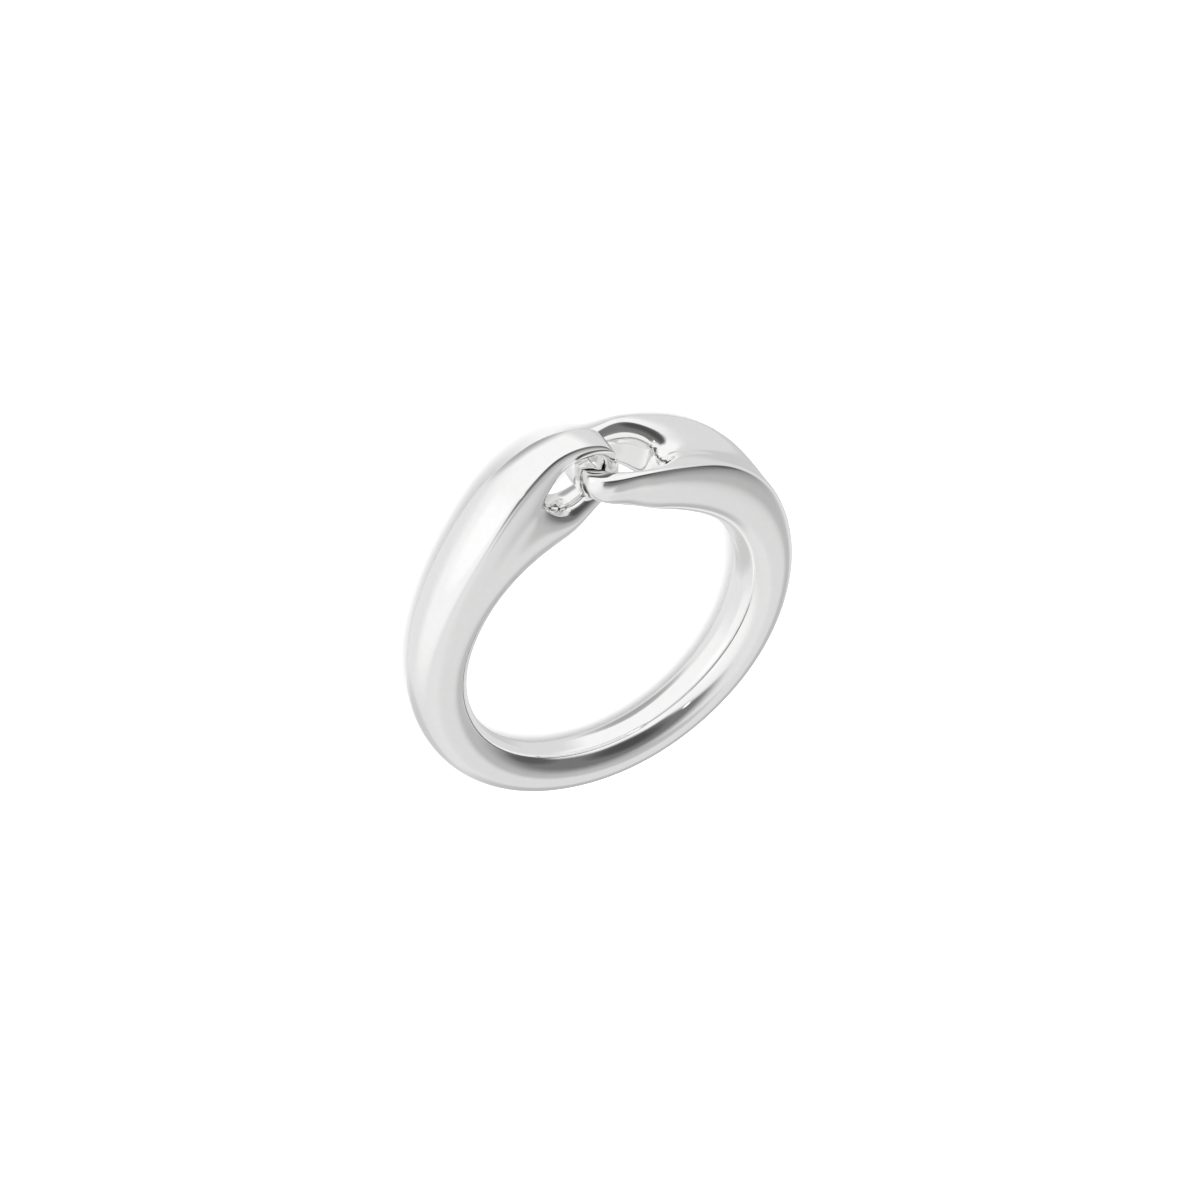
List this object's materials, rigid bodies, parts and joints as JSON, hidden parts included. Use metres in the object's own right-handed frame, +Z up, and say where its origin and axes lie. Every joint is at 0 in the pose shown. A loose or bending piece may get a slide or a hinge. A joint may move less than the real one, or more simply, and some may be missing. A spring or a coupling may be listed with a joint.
{
  "type": "ring",
  "caption": "Polished silver finger ring whose ends open into eyes that link through each other at the top, on a smooth rounded band.",
  "frame": {"origin": "middle of the bounding box in plan, at the level of the surface the ring lies on", "axes": "+Z up, within four degrees of the finger hole's axis; +Y towards the linked eyes; +X towards the flat eye's side"},
  "size_m": [0.0232, 0.0258, 0.0054],
  "materials": {
    "silver": "mirror polish"
  },
  "bodies": {
    "root": {"ring": "silver"}
  },
  "joints": []
}
